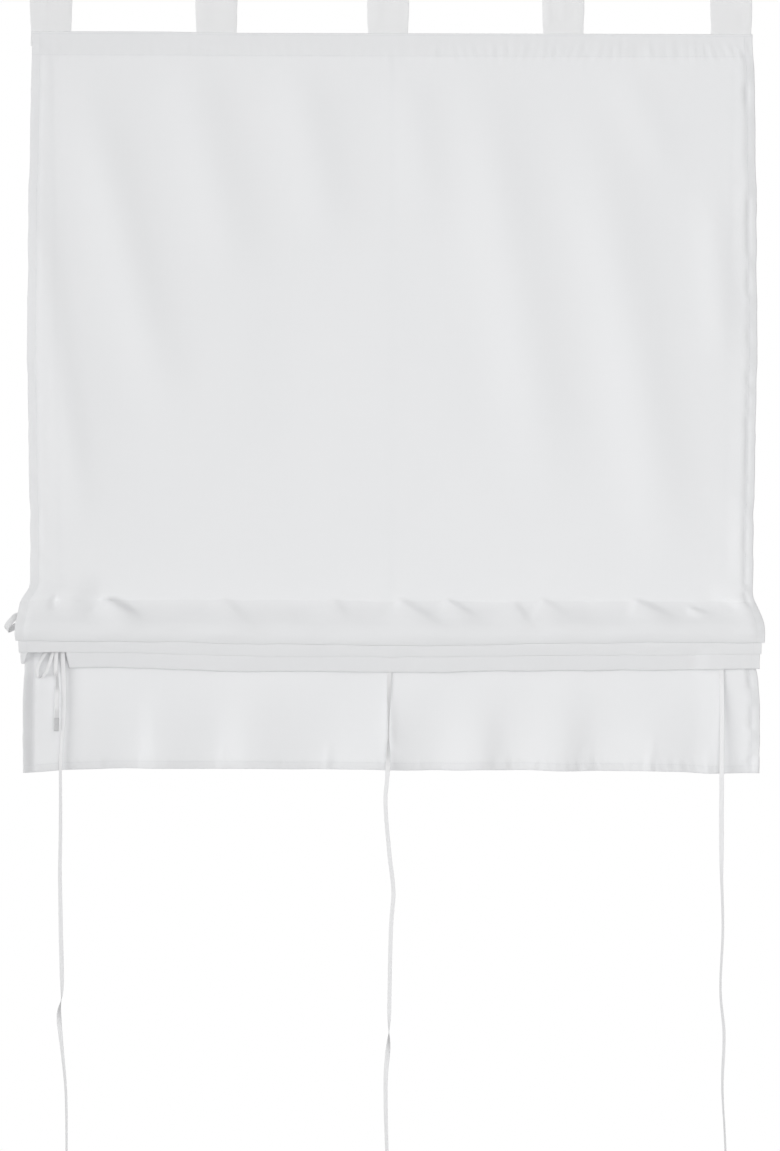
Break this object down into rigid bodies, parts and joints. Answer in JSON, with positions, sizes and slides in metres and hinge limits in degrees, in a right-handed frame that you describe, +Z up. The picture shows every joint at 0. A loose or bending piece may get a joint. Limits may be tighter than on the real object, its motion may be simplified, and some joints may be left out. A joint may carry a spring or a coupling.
{
  "type": "tie-up blind",
  "caption": "White voile tie-up blind on rod tabs, its lower part folded into pleats and held up by flat ribbons that are tied in bows and hang down in front of the bottom flap.",
  "frame": {"origin": "on the axis of the rod that the tabs hang on, at the middle of the blind's width", "axes": "+X along the rod to the right as seen from the room, +Y away from the room towards the window, +Z up"},
  "size_m": [1.0256, 0.0429, 1.6112],
  "materials": {
    "voile": "plain-woven semi-sheer voile, matt",
    "ribbon": "narrow woven ribbon, slight sheen",
    "ring": "milky moulded plastic"
  },
  "bodies": {
    "root": {"panel": "voile", "tab_1": "voile", "tab_2": "voile", "tab_3": "voile", "tab_4": "voile", "tab_5": "voile", "guide_rings_left": "ring", "guide_rings_centre": "ring", "guide_rings_right": "ring", "ribbon_left": "ribbon", "ribbon_centre": "ribbon", "ribbon_right": "ribbon", "bow_left": "ribbon", "bow_centre": "ribbon", "bow_right": "ribbon", "end_knot_left": "ribbon", "end_knot_centre": "ribbon", "end_knot_right": "ribbon"}
  },
  "joints": []
}
